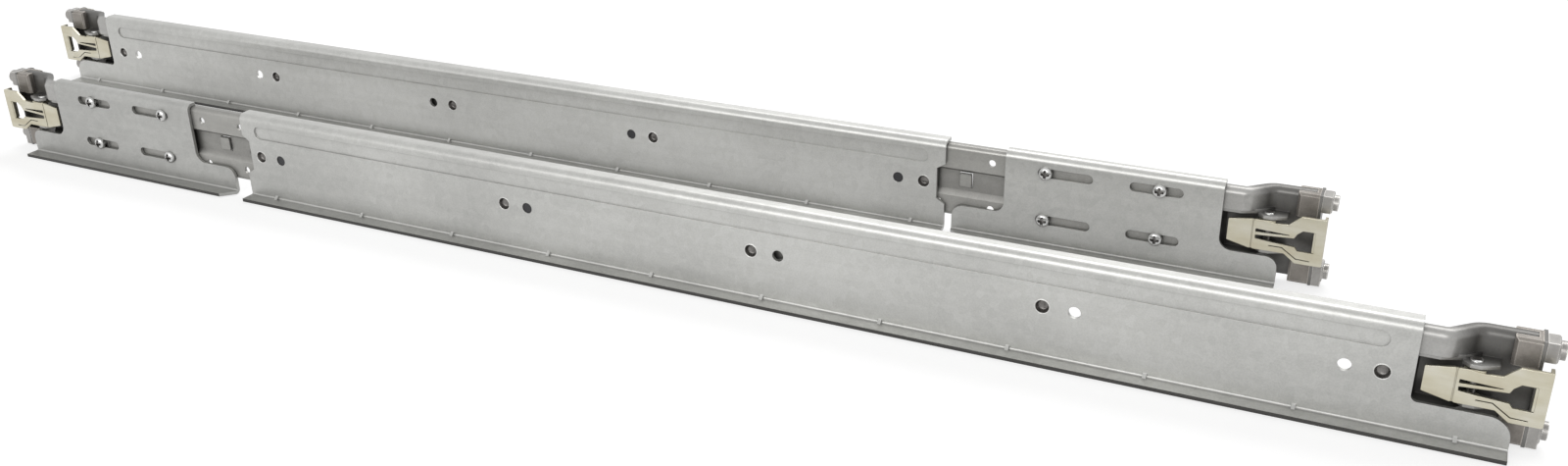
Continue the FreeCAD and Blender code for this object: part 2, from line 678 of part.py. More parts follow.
def make_blocks():
    """Cast blocks inside the end plate, each slotted for the frame's web."""
    body = new_body("right_front_blocks")
    ranges = ((S.block_low, S.end_top), (S.end_bottom, S.end_bottom + S.block_high))
    for name, (low, high) in zip(("upper", "lower"), ranges):
        slab(body, "XY_Plane", name, low, high,
             lambda s: box_outline(s, S.block_start, S.end_near, S.end_inner, S.block_far))
    rims = [dict(y=y, z=z) for y in (S.end_near, S.block_far) for z in (S.end_top, S.end_bottom)]
    round_edges(body, "corners", S.lug_chamfer * 2, dict(x=S.block_start, y=S.end_near), *rims,
                kind="Chamfer")
    slot_start = S.block_start - 1
    cut(body, "XY_Plane", "web_slot", S.lower_arm_low, S.end_top + 1,
        lambda s: box_outline(s, slot_start, S.web_face, S.block_solid,
                              S.web_face + S.frame_steel))
    cut(body, "XY_Plane", "lip_seat", S.arm_top - S.frame_steel, S.end_top + 1,
        lambda s: box_outline(s, slot_start, S.web_face, S.block_solid, S.web_face + S.arm_flange))
    cut(body, "XY_Plane", "roll_seat", S.arm_top - S.arm_roll, S.end_top + 1,
        lambda s: box_outline(s, slot_start, S.web_face, S.block_solid, S.web_face + S.arm_roll))
    cut(body, "YZ_Plane", "shank_holes", S.block_solid - 1, S.end_inner + 1,
        squares(lug_places(), S.lug_shank))
    return body


def make_lugs():
    """Square lugs with a round tip for the rack's holes, each on a square shank."""
    body = new_body("right_front_lugs")
    tip = S.end_outer + S.lug_tip
    shoulder = S.end_outer + S.lug_length
    places = lug_places()

    slab(body, "YZ_Plane", "lugs", S.end_outer, shoulder, squares(places, S.lug_half))
    edges = [dict(x=shoulder, y=S.hole_column + S.lug_half * side) for side in SIDES]
    edges += [dict(x=shoulder, z=z + S.lug_half * side) for y, z in places for side in SIDES]
    round_edges(body, "bevels", S.lug_chamfer, *edges, kind="Chamfer")
    slab(body, "YZ_Plane", "tips", shoulder, tip, discs(places, S.lug_tip_radius))
    slab(body, "YZ_Plane", "shanks", S.block_solid, S.end_outer, squares(places, S.lug_shank))
    low = S.hole_low_z - S.lug_half
    slab(body, "YZ_Plane", "ledge", S.end_outer, shoulder - S.lug_chamfer,
         lambda s: box_outline(s, S.hole_column - S.lug_half, low - S.lug_ledge + 0.1,
                               S.hole_column + S.lug_half, low))
    return body


def make_latch():
    """The spring latch: push tab, spring tongue, window, hook and two pivot wings."""
    body = new_body("right_front_latch")
    face = S.latch_face
    back = face + S.latch_steel
    outline = [
        (S.latch_tab, S.latch_tab_low), (S.latch_fold, S.latch_neck_low),
        (S.latch_rise, S.latch_neck_low), (S.latch_wide, S.latch_foot),
        (S.latch_end, S.latch_foot), (S.latch_end, S.latch_top), (S.latch_wide, S.latch_top),
        (S.latch_rise, S.latch_neck_top), (S.latch_fold, S.latch_neck_top),
        (S.latch_tab, S.latch_tab_top),
    ]
    slab(body, "XZ_Plane", "plate", face, back, lambda s: polygon(s, outline))
    slab(body, "XZ_Plane", "hook", face, face + S.hook_depth,
         lambda s: box_outline(s, S.latch_end - S.latch_steel, S.latch_foot, S.latch_end, S.latch_top))
    for name, low in (("upper_wing", S.wing_high), ("lower_wing", S.wing_low)):
        slab(body, "XY_Plane", name, low, low + S.latch_steel, draw_wing)
    cut(body, "XZ_Plane", "window", face - 1, back + 1,
        lambda s: box_outline(s, S.latch_window, S.latch_window_low, S.latch_window_end,
                              S.latch_window_top))
    cut(body, "XZ_Plane", "upper_slit", face - 1, back + 1,
        lambda s: box_outline(s, S.spring_start, S.spring_top, S.spring_end - 2,
                              S.spring_top + S.spring_gap))
    cut(body, "XZ_Plane", "lower_slit", face - 1, back + 1,
        lambda s: box_outline(s, S.spring_start, S.spring_low, S.latch_window + 1,
                              S.spring_low + S.spring_low_gap))
    cut(body, "XZ_Plane", "fold", face - 1, face + S.fold_depth,
        lambda s: box_outline(s, S.latch_fold, S.latch_foot, S.latch_fold + S.fold_width, S.latch_top))
    cut(body, "XY_Plane", "pin_holes", S.wing_low - 1, S.wing_high + S.latch_steel + 1,
        lambda s: circle(s, S.pin_x, S.pin_y, S.pin_radius + S.pin_play))
    return body


def draw_wing(sketch):
    """A tab bent in from the latch's edge, rounded about the pivot pin."""
    x = S.pin_x
    y = S.pin_y
    radius = S.wing_radius
    short = radius * 0.42
    front = S.latch_face + 0.2
    polygon(sketch, [
        (x - radius, front), (x + radius, front), (x + radius, y + short), (x + short, y + radius),
        (x - short, y + radius), (x - radius, y + short),
    ])


def make_latch_pin():
    body = new_body("right_front_latch_pin")
    low = S.ear_low - 0.6
    high = S.ear_high + S.frame_steel + 0.6
    slab(body, "XY_Plane", "shaft", low, high, lambda s: circle(s, S.pin_x, S.pin_y, S.pin_radius))
    return body


# ---------------------------------------------------------------- assembly

def mirrored(source, label, plane_x):
    """A mirror image of another sub-part about a plane across X."""
    image = doc.addObject("Part::Mirroring", label)
    image.Label = label
    image.Source = source
    image.Normal = X_AXIS
    set_size(image, "Base.x", plane_x)
    return image


make_front_rail()
make_rear_bracket()
make_channel()
make_screws()
make_nuts()
make_guide_blocks()
front_end = [make_front_frame(), make_blocks(), make_lugs(), make_latch(), make_latch_pin()]
doc.recompute()
for piece in front_end:
    mirrored(piece, piece.Label.replace("right_front", "right_rear"), S.end_mirror)
doc.recompute()

FRONT_NODES = ("front_rail", "guide_blocks", "front_frame", "front_blocks", "front_lugs",
               "front_latch", "front_latch_pin")
right_parts = [o for o in doc.Objects if o.Label.startswith("right_")
               and o.TypeId in ("PartDesign::Body", "Part::Mirroring")]
left_parts = []
for part in right_parts:
    name = part.Label[len("right_"):]
    plane = as_size(0) if name in FRONT_NODES else -S.left_shift * 0.5
    left_parts.append(mirrored(part, f"left_{name}", plane))
doc.recompute()

for part in right_parts:
    if part.TypeId == "PartDesign::Body":
        set_size(part, "Placement.Base.y", S.server_face)
for part in left_parts:
    set_size(part, "Placement.Base.y", S.rail_gap)
doc.recompute()

parts = right_parts + left_parts
for obj in doc.Objects:
    if "Invalid" in obj.State or "Error" in obj.State:
        raise RuntimeError(f"{obj.Label} failed: {obj.State}")
for part in parts:
    if part.Shape.isNull() or not part.Shape.isValid():
        raise RuntimeError(f"{part.Label} has no valid shape")

os.makedirs("parts", exist_ok=True)
for part in parts:
    part.Shape.exportStep(f"parts/{part.Label}.step")
print(f"{len(parts)} parts written")
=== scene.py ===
"""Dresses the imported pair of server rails: coated sheet steel, cast blocks, latches and screws.

The rails lie along X, Z is up, and the server slides along their faces that look to -Y.
"""

import json
import math

import bmesh
import bpy
from mathutils import Matrix, Vector


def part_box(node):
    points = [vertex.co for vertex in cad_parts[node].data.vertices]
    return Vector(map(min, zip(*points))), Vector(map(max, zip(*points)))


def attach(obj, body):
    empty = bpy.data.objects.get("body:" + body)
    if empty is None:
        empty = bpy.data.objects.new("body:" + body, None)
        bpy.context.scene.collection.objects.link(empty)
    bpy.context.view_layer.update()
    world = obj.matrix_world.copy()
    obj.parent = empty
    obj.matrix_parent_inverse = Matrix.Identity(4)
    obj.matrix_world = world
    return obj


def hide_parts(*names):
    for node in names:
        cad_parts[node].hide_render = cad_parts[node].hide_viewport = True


MM = 0.001
SIDES = ("right", "left")
ENDS = ("front", "rear")

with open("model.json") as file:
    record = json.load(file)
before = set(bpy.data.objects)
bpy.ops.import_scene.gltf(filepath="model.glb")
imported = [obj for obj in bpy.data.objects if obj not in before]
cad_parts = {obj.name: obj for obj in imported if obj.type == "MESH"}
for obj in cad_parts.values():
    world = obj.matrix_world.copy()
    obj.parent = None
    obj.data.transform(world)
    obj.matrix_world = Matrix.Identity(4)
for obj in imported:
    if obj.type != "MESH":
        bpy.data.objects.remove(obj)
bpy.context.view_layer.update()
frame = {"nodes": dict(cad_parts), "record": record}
scene = bpy.context.scene


def server_face(side):
    """Y of the upright face that the server slides along, behind the free edge of the foot."""
    foot_depth = 7.0 * MM
    low, _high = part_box(f"{side}_rear_bracket")
    return low.y + foot_depth


# ---------------------------------------------------------------- materials

class Nodes:
    """Adds nodes to one material and links them."""

    MIX_A = 6
    MIX_B = 7
    MIX_RESULT = 2

    def __init__(self, name):
        self.material = bpy.data.materials.new(name)
        self.material.use_nodes = True
        self.tree = self.material.node_tree
        self.shader = self.tree.nodes["Principled BSDF"]
        coordinates = self.add("ShaderNodeTexCoord").outputs
        self.place = coordinates["Object"]
        self.facing = coordinates["Normal"]

    def add(self, kind, **sockets):
        node = self.tree.nodes.new(kind)
        for name, value in sockets.items():
            self.set(node, name, value)
        return node

    def set(self, node, name, value):
        """Links or sets one input, found by its name or its number."""
        socket = node.inputs[name]
        if isinstance(value, bpy.types.NodeSocket):
            self.tree.links.new(value, socket)
        else:
            socket.default_value = value

    def math(self, operation, a, b):
        node = self.add("ShaderNodeMath")
        node.operation = operation
        self.set(node, 0, a)
        self.set(node, 1, b)
        return node.outputs[0]

    def noise(self, scale, stretch=(1, 1, 1), detail=4.0, rough=0.55):
        mapping = self.add("ShaderNodeMapping", Vector=self.place, Scale=stretch)
        node = self.add("ShaderNodeTexNoise", Vector=mapping.outputs["Vector"], Scale=scale,
                        Detail=detail, Roughness=rough)
        return node.outputs["Fac"]

    def height_y(self):
        return self.add("ShaderNodeSeparateXYZ", Vector=self.place).outputs["Y"]

    def below(self, limit):
        """1 where Y is under the limit, else 0."""
        return self.math("LESS_THAN", self.height_y(), limit)

    def on_server_side(self):
        """1 where the sheet doesn't look away from the server, else 0."""
        turned = self.add("ShaderNodeSeparateXYZ", Vector=self.facing).outputs["Y"]
        return self.math("LESS_THAN", turned, 0.3)

    def cells(self, scale):
        node = self.add("ShaderNodeTexVoronoi", Vector=self.place, Scale=scale)
        return self.add("ShaderNodeRGBToBW", Color=node.outputs["Color"]).outputs["Val"]

    def ramp(self, value, stops):
        node = self.add("ShaderNodeValToRGB", Fac=value)
        elements = node.color_ramp.elements
        while len(elements) < len(stops):
            elements.new(0.5)
        for element, (at, colour) in zip(elements, stops):
            element.position = at
            element.color = (*colour, 1.0)
        return node.outputs["Color"]

    def mix(self, amount, a, b, mode="MIX"):
        node = self.tree.nodes.new("ShaderNodeMix")
        node.data_type = "RGBA"
        node.blend_type = mode
        self.set(node, "Factor", amount)
        for socket, colour in ((self.MIX_A, a), (self.MIX_B, b)):
            if not isinstance(colour, bpy.types.NodeSocket):
                colour = (*colour, 1.0)
            self.set(node, socket, colour)
        return node.outputs[self.MIX_RESULT]

    def span(self, value, low, high):
        node = self.add("ShaderNodeMapRange", Value=value)
        node.inputs["To Min"].default_value = low
        node.inputs["To Max"].default_value = high
        return node.outputs["Result"]

    def fade(self, value, start, full):
        """0 at the start and 1 at the full value."""
        node = self.add("ShaderNodeMapRange", Value=value)
        node.inputs["From Min"].default_value = start
        node.inputs["From Max"].default_value = full
        return node.outputs["Result"]

    def shaded_in_corners(self, colour, reach, strength):
        """The colour, with painted shade: darker in inner corners and gaps narrower than the reach."""
        shade = self.add("ShaderNodeAmbientOcclusion", Distance=reach)
        shade.samples = 8
        scale = self.add("ShaderNodeVectorMath")
        scale.operation = "SCALE"
        self.set(scale, 0, colour)
        self.set(scale, "Scale", self.span(shade.outputs["AO"], 1.0 - strength, 1.0))
        return scale.outputs["Vector"]

    def edge_highlighted(self, colour, width, light):
        """The colour, with a painted highlight: lighter along outer corners."""
        bevel = self.add("ShaderNodeBevel", Radius=width)
        bevel.samples = 6
        turned = self.add("ShaderNodeVectorMath")
        turned.operation = "DOT_PRODUCT"
        self.set(turned, 0, bevel.outputs["Normal"])
        self.set(turned, 1, self.add("ShaderNodeNewGeometry").outputs["Normal"])
        return self.mix(self.fade(turned.outputs["Value"], 0.98, 0.82), colour, light)

    def finish(self, colour, metallic, roughness, bump, depth, edge=0.0):
        """Sets the surface, with a bump of that depth and edges rounded to that radius."""
        self.set(self.shader, "Base Color", colour)
        self.set(self.shader, "Metallic", metallic)
        self.set(self.shader, "Roughness", roughness)
        relief = self.add("ShaderNodeBump", Height=bump, Distance=depth, Strength=1.0)
        if edge:
            bevel = self.add("ShaderNodeBevel", Radius=edge)
            bevel.samples = 4
            self.set(relief, "Normal", bevel.outputs["Normal"])
        self.set(self.shader, "Normal", relief.outputs["Normal"])
        return self.material


def toned(colour, share):
    return tuple(share * part for part in colour)


FOOT_TOP = 0.9 * MM
FOOT_CUT_EDGE = 6.93 * MM


def zinc_sheet(name, dark, light, recess_shade=None, face=None, corner_shade=(2.5, 0.35)):
    """Cold-rolled sheet with a thin zinc coat: soft clouds, faint crystals, fine roll lines.

    recess_shade is painted shade deep in recesses: the Y where it starts, the Y where it is full, and its
    strength there.
    face is the Y of the server face: the foot in front of it is painted a little darker, and its cut edge near
    black, both as painted shade.
    corner_shade is how many mm from a corner the painted shade reaches, and how dark it is.
    """
    n = Nodes(name)
    clouds = n.noise(16.0, (0.6, 1, 1), 5.0)
    lines = n.noise(260.0, (0.05, 1, 1), 3.0, 0.6)
    grain = n.noise(1500.0, (1, 1, 1), 2.0, 0.6)
    base = n.ramp(clouds, [(0.32, dark), (0.68, light)])
    base = n.mix(0.07, base, n.cells(330.0), "OVERLAY")
    base = n.mix(0.22, base, n.ramp(lines, [(0.35, dark), (0.65, light)]))
    speckle = n.ramp(grain, [(0.3, (0.25, 0.25, 0.24)), (0.7, (0.9, 0.9, 0.88))])
    base = n.mix(0.10, base, speckle, "OVERLAY")
    # painted shade: darker deeper into recesses, on faces that don't look away from the server
    if recess_shade:
        start, full, strength = recess_shade
        depth = n.fade(n.height_y(), start, full)
        amount = n.math("MULTIPLY", n.math("MULTIPLY", depth, strength), n.on_server_side())
        base = n.mix(amount, base, (0.045, 0.042, 0.038))
    # painted shade: the foot in front of the face a little darker, its cut edge near black
    if face is not None:
        foot_shade = n.mix(0.08, base, (0.06, 0.06, 0.062))
        base = n.mix(n.below(face - FOOT_TOP), base, foot_shade)
        base = n.mix(n.below(face - FOOT_CUT_EDGE), base, (0.07, 0.068, 0.065))
    # painted shade in inner corners and narrow gaps
    reach, strength = corner_shade
    base = n.shaded_in_corners(base, reach * MM, strength)
    roughness = n.span(n.noise(45.0, (0.5, 1, 1), 4.0), 0.34, 0.46)
    return n.finish(base, 0.75, roughness, n.mix(0.35, lines, grain), 0.03 * MM, 0.3 * MM)


def cast_metal(name, dark, light, rough, metallic):
    """Die-cast or sintered metal: fine pitted grain, painted shade in inner corners and a painted highlight
    along outer corners.
    """
    n = Nodes(name)
    blotch = n.noise(90.0, (1, 1, 1), 5.0)
    grain = n.noise(1400.0, (1, 1, 1), 3.0, 0.7)
    base = n.ramp(blotch, [(0.3, dark), (0.72, light)])
    base = n.mix(0.25, base, n.ramp(grain, [(0.35, dark), (0.7, light)]))
    # painted shade in inner corners, painted highlight along outer corners
    base = n.edge_highlighted(n.shaded_in_corners(base, 2.0 * MM, 0.5), 0.7 * MM, toned(light, 2.0))
    roughness = n.span(grain, rough - 0.08, rough + 0.12)
    return n.finish(base, metallic, roughness, grain, 0.08 * MM, 0.4 * MM)


def champagne(name):
    """Spring steel with a pale yellow passivation that varies from place to place."""
    n = Nodes(name)
    drift = n.noise(70.0, (1, 1, 1.4), 4.0)
    streak = n.noise(420.0, (0.12, 1, 1), 3.0)
    base = n.ramp(drift, [(0.25, (0.47, 0.425, 0.305)), (0.5, (0.55, 0.52, 0.41)), (0.78, (0.62, 0.60, 0.53))])
    base = n.mix(0.18, base, n.ramp(streak, [(0.3, (0.50, 0.46, 0.34)), (0.7, (0.84, 0.82, 0.72))]))
    # painted shade in inner corners and narrow gaps
    base = n.shaded_in_corners(base, 1.5 * MM, 0.4)
    return n.finish(base, 0.85, n.span(streak, 0.24, 0.38), streak, 0.02 * MM, 0.2 * MM)


def bright(name, tone, rough):
    """Plated steel with a slight haze."""
    n = Nodes(name)
    haze = n.noise(600.0, (1, 1, 1), 3.0)
    base = n.ramp(haze, [(0.3, toned(tone, 0.8)), (0.7, tone)])
    return n.finish(base, 1.0, n.span(haze, rough, rough + 0.12), haze, 0.01 * MM, 0.15 * MM)


def moulded(name):
    """Black moulded plastic with a fine grain."""
    n = Nodes(name)
    grain = n.noise(1800.0, (1, 1, 1), 2.0)
    base = n.ramp(grain, [(0.3, (0.016, 0.016, 0.018)), (0.7, (0.035, 0.035, 0.038))])
    return n.finish(base, 0.0, n.span(grain, 0.42, 0.58), grain, 0.03 * MM)


def cup_shade(name):
    """Painted shade: the dark inside of a pressed cup, also used in screw recesses and on the latch pins."""
    n = Nodes(name)
    blotch = n.noise(500.0, (1, 1, 1), 3.0)
    base = n.ramp(blotch, [(0.3, (0.11, 0.105, 0.10)), (0.7, (0.24, 0.23, 0.22))])
    return n.finish(base, 0.85, n.span(blotch, 0.22, 0.36), blotch, 0.01 * MM)


LOOKS = {
    "cast_block": cast_metal("cast_block", (0.17, 0.155, 0.14), (0.36, 0.335, 0.305), 0.42, 0.7),
    "sintered_lug": cast_metal("sintered_lug", (0.26, 0.25, 0.24), (0.44, 0.43, 0.41), 0.32, 0.85),
    "latch_spring_steel": champagne("latch_spring_steel"),
    "bright_steel": bright("bright_steel", (0.60, 0.60, 0.59), 0.16),
    "nut_steel": bright("nut_steel", (0.55, 0.55, 0.54), 0.3),
    "black_acetal": moulded("black_acetal"),
}
# painted shade inside the dimples, the screws' cross recesses and on the latch pins
CUP_SHADE_LOOK = cup_shade("pressed_cup_shade")
# a painted highlight: the dimples' shoulders lighter than the sheet
RIM_HIGHLIGHT_LOOK = zinc_sheet("pressed_rim_highlight", (0.52, 0.52, 0.50), (0.70, 0.70, 0.68))

# how bright each long sheet and each short bracket is, as a share of the two tones; the right side's copies
# are toned darker than the left's as painted shade
SHEET_DARK = (0.45, 0.45, 0.435)
SHEET_LIGHT = (0.58, 0.58, 0.56)
SHEET_SHADE_SHARES = {
    ("right", "zinc_sheet"): 0.95,
    ("left", "zinc_sheet"): 1.0,
    ("right", "bracket_sheet"): 0.83,
    ("left", "bracket_sheet"): 0.93,
}
# the channel's tones are darker than the sheets' as painted shade, where it shows inside the slots and behind
# the rail
CHANNEL_DARK = (0.31, 0.305, 0.29)
CHANNEL_LIGHT = (0.41, 0.405, 0.385)
FRAME_DARK = (0.335, 0.33, 0.32)
FRAME_LIGHT = (0.47, 0.465, 0.45)

side_looks = {}
for (side, kind), share in SHEET_SHADE_SHARES.items():
    side_looks[side, kind] = zinc_sheet(f"{kind}_{side}", toned(SHEET_DARK, share), toned(SHEET_LIGHT, share),
                                        face=server_face(side))
for side in SIDES:
    face = server_face(side)
    # painted shade deep in the channel's and the frame's recesses and in their corners
    side_looks[side, "zinc_channel"] = zinc_sheet(
        f"zinc_channel_{side}", CHANNEL_DARK, CHANNEL_LIGHT,
        recess_shade=(face + 1.9 * MM, face + 3.4 * MM, 0.28), corner_shade=(6.0, 0.5))
    side_looks[side, "zinc_frame"] = zinc_sheet(
        f"zinc_frame_{side}", FRAME_DARK, FRAME_LIGHT,
        recess_shade=(face + 2.5 * MM, face + 8.5 * MM, 0.72), corner_shade=(7.0, 0.6))

slot_of = {part["node"]: part["material_slot"] for part in frame["record"]["subparts"]}


def look_of(node):
    side = node.split("_")[0]
    # the latch pins take the dark painted-shade cup material
    if node.endswith("latch_pin"):
        return CUP_SHADE_LOOK
    if node.endswith("rear_bracket"):
        return side_looks[side, "bracket_sheet"]
    return side_looks.get((side, slot_of[node])) or LOOKS[slot_of[node]]


for name, obj in frame["nodes"].items():
    obj.data.materials.clear()
    obj.data.materials.append(look_of(name))


# ---------------------------------------------------------------- tools for the added pieces

UPRIGHT = Matrix.Rotation(math.pi / 2, 4, "X")


def body_of_node(node):
    for body, members in frame["record"]["behaviour"]["bodies"].items():
        if node in members:
            return body
    raise ValueError(node)


def mesh_piece(name, bm, slot, body, look=None):
    """Turns the mesh into a piece that rides on the body."""
    mesh = bpy.data.meshes.new(name)
    bm.to_mesh(mesh)
    bm.free()
    piece = bpy.data.objects.new(name, mesh)
    scene.collection.objects.link(piece)
    mesh.materials.append(look or LOOKS[slot])
    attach(piece, body)
    return piece


def smooth(piece, degrees):
    """Shades the piece smooth, apart from edges sharper than the angle."""
    for polygon in piece.data.polygons:
        polygon.use_smooth = True
    with bpy.context.temp_override(object=piece, active_object=piece, selected_objects=[piece],
                                   selected_editable_objects=[piece]):
        bpy.ops.object.shade_smooth_by_angle(angle=math.radians(degrees))


def bridge(bm, rings):
    """Joins each ring of vertices to the next with a band of faces."""
    for a, b in zip(rings, rings[1:]):
        count = len(a)
        for k in range(count):
            following = (k + 1) % count
            bm.faces.new((a[k], b[k], b[following], a[following]))


def circle(radius, count):
    """Points of a circle about the origin."""
    angles = [2 * math.pi * k / count for k in range(count)]
    return [(radius * math.cos(a), radius * math.sin(a)) for a in angles]


def turned_ring(bm, place, profile, around=48):
    """Revolves (radius, depth) points in mm about an axis along Y."""
    x, y, z = place
    rings = []
    for radius, depth in profile:
        rings.append([bm.verts.new((x + u, y + depth * MM, z + v)) for u, v in circle(radius * MM, around)])
    bridge(bm, rings)
    return rings


def loose_parts(obj):
    """Lowest and highest corner of each solid of a node."""
    bm = bmesh.new()
    bm.from_mesh(obj.data)
    bmesh.ops.remove_doubles(bm, verts=bm.verts, dist=1e-6)
    seen = set()
    boxes = []
    for start in bm.verts:
        if start in seen:
            continue
        stack = [start]
        seen.add(start)
        group = []
        while stack:
            vert = stack.pop()
            group.append(vert.co.copy())
            for edge in vert.link_edges:
                other = edge.other_vert(vert)
                if other not in seen:
                    seen.add(other)
                    stack.append(other)
        low = Vector([min(c[i] for c in group) for i in range(3)])
        high = Vector([max(c[i] for c in group) for i in range(3)])
        boxes.append((low, high))
    bm.free()
    return boxes


def filleted(points, radius, steps=4):
    """A closed outline whose corners are rounded by curves."""
    result = []
    for i, corner in enumerate(points):
        here = Vector(corner)
        before = Vector(points[i - 1])
        after = Vector(points[(i + 1) % len(points)])
        back = (before - here).normalized()
        ahead = (after - here).normalized()
        half = back.angle(ahead) / 2
        reach = min(radius / max(math.tan(half), 0.05), (before - here).length * 0.45,
                    (after - here).length * 0.45)
        start = here + back * reach
        end = here + ahead * reach
        for k in range(steps + 1):
            f = k / steps
            result.append((1 - f) ** 2 * start + 2 * f * (1 - f) * here + f * f * end)
    return result


def cut_plate(outlines, thick, bevel=0.1):
    """A flat plate in mm with rounded edges; outlines after the first are holes in it."""
    curve = bpy.data.curves.new("plate", "CURVE")
    curve.dimensions = "2D"
    curve.fill_mode = "BOTH"
    curve.extrude = thick / 2 - bevel
    curve.bevel_depth = bevel
    curve.bevel_resolution = 1
    curve.offset = -bevel
    for outline in outlines:
        spline = curve.splines.new("POLY")
        spline.points.add(len(outline) - 1)
        for point, place in zip(spline.points, outline):
            point.co = (place[0], place[1], 0, 1)
        spline.use_cyclic_u = True
    helper = bpy.data.objects.new("plate", curve)
    scene.collection.objects.link(helper)
    graph = bpy.context.evaluated_depsgraph_get()
    mesh = bpy.data.meshes.new_from_object(helper.evaluated_get(graph))
    bpy.data.objects.remove(helper)
    bpy.data.curves.remove(curve)
    return mesh


def add_mesh(bm, mesh, matrix):
    start = len(bm.verts)
    bm.from_mesh(mesh)
    bm.verts.ensure_lookup_table()
    bmesh.ops.transform(bm, matrix=matrix, verts=bm.verts[start:])
    bpy.data.meshes.remove(mesh)


# ---------------------------------------------------------------- screws

HEAD_CLEARANCE = 0.03 * MM
HEAD_RADIUS = 3.1 * MM
HEAD_RIM = 0.8 * MM
HEAD_HEIGHT = 2.25 * MM
SHANK_RADIUS = 1.93 * MM
RECESS_REACH = 1.95 * MM
RECESS_ARM = 0.6 * MM
RECESS_DEPTH = 1.3 * MM
RECESS_RUN_OUT = 0.9 * MM


def dome(r):
    """Height of the pan head at a distance from its axis."""
    rise = math.sqrt(max(0.0, 1 - (r / HEAD_RADIUS) ** 2)) ** 0.9
    return HEAD_RIM + (HEAD_HEIGHT - HEAD_RIM) * rise


def recess(u, v):
    """Depth of the cross recess at a place on the head."""
    across = min(abs(u), abs(v))
    along = max(abs(u), abs(v))
    if along > RECESS_REACH or across > RECESS_ARM * (1.25 - 0.45 * along / RECESS_REACH):
        return 0.0
    return RECESS_DEPTH * min(1.0, (RECESS_REACH - along) / RECESS_RUN_OUT + 0.15)


def in_recess_shade(place, heads):
    """Is the place within the part of the cross recess of one of the heads, given as (X, Z), that is painted
    dark as shade?
    """
    for x, z in heads:
        u = abs(place.x - x) / MM
        v = abs(place.z - z) / MM
        if max(u, v) < 1.85 and min(u, v) < 0.72 - 0.18 * max(u, v) / 1.9:
            return True
    return False


def cross_head(bm, x, y, z):
    """A domed pan head on the bracket's face with a cross recess, looking to -Y."""
    steps = 21
    count = 80
    centre = bm.verts.new((x, y - dome(0) + recess(0, 0), z))
    rings = []
    for step in range(1, steps + 1):
        r = HEAD_RADIUS * step / steps
        rings.append([bm.verts.new((x + u, y - dome(r) + recess(u, v), z + v)) for u, v in circle(r, count)])
    rings.append([bm.verts.new((x + u, y, z + v)) for u, v in circle(HEAD_RADIUS, count)])
    for k in range(count):
        bm.faces.new((centre, rings[0][k], rings[0][(k + 1) % count]))
    bridge(bm, rings)
    bm.faces.new(rings[-1])


def shank(bm, x, y0, y1, z, radius):
    made = bmesh.ops.create_cone(bm, cap_ends=True, segments=32, radius1=radius, radius2=radius,
                                 depth=y1 - y0)
    bmesh.ops.transform(bm, matrix=Matrix.Translation((x, (y0 + y1) / 2, z)) @ UPRIGHT, verts=made["verts"])


def add_screws(side):
    """Pan-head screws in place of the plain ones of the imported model."""
    node = f"{side}_bracket_screws"
    face = server_face(side)
    seat = face - HEAD_CLEARANCE
    bm = bmesh.new()
    heads = []
    for low, high in loose_parts(frame["nodes"][node]):
        x = (low.x + high.x) / 2
        z = (low.z + high.z) / 2
        heads.append((x, z))
        cross_head(bm, x, seat, z)
        shank(bm, x, seat, high.y, z, SHANK_RADIUS)
    bmesh.ops.recalc_face_normals(bm, faces=bm.faces)
    piece = mesh_piece(f"{side}_cross_screws", bm, "bright_steel", body_of_node(node))
    # the faces deep in each cross recess take the painted-shade cup material
    piece.data.materials.append(CUP_SHADE_LOOK)
    for polygon in piece.data.polygons:
        if polygon.center.y < face and in_recess_shade(polygon.center, heads):
            polygon.material_index = 1
    smooth(piece, 38)
    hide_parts(node)


# ---------------------------------------------------------------- pressed dimples

DIMPLE_PLACES = (-156.0, -9.7, 116.3, 242.3, 365.2)
DIMPLE_HEIGHT = 22.9
CUP_PROFILE = [(2.72, 0.06), (2.60, 0.35), (2.30, 1.2), (2.05, 1.82), (1.75, 2.04)]
SHOULDER_PROFILE = [(3.25, 0.01), (3.12, -0.07), (2.95, -0.10), (2.80, -0.05), (2.70, 0.10)]


def add_dimple_cups(side):
    """A dark lining in each pressed dimple as painted shade, and a shoulder round its mouth, lighter as a
    painted highlight.
    """
    way = 1 if side == "right" else -1
    cups = bmesh.new()
    shoulders = bmesh.new()
    for x in DIMPLE_PLACES:
        place = (way * x * MM, server_face(side), DIMPLE_HEIGHT * MM)
        rings = turned_ring(cups, place, CUP_PROFILE)
        cups.faces.new(rings[-1])
        turned_ring(shoulders, place, SHOULDER_PROFILE)
    for bm, name, look in ((cups, "dimple_cup_shade", CUP_SHADE_LOOK), (shoulders, "dimple_shoulders_highlighted", RIM_HIGHLIGHT_LOOK)):
        bmesh.ops.recalc_face_normals(bm, faces=bm.faces)
        for face in bm.faces:
            face.smooth = True
            if face.normal.y > 0:
                face.normal_flip()
        mesh_piece(f"{side}_{name}", bm, "zinc_sheet", "front_rails", look)


# ---------------------------------------------------------------- stop button

BUTTON_FROM_END = 101.6
BUTTON_HEIGHT = 25.3
BUTTON_DEPTH = 3.0
BUTTON_OUTLINE = [(-3.0, -3.2), (3.0, -3.2), (3.0, 3.2), (-3.0, 3.2)]


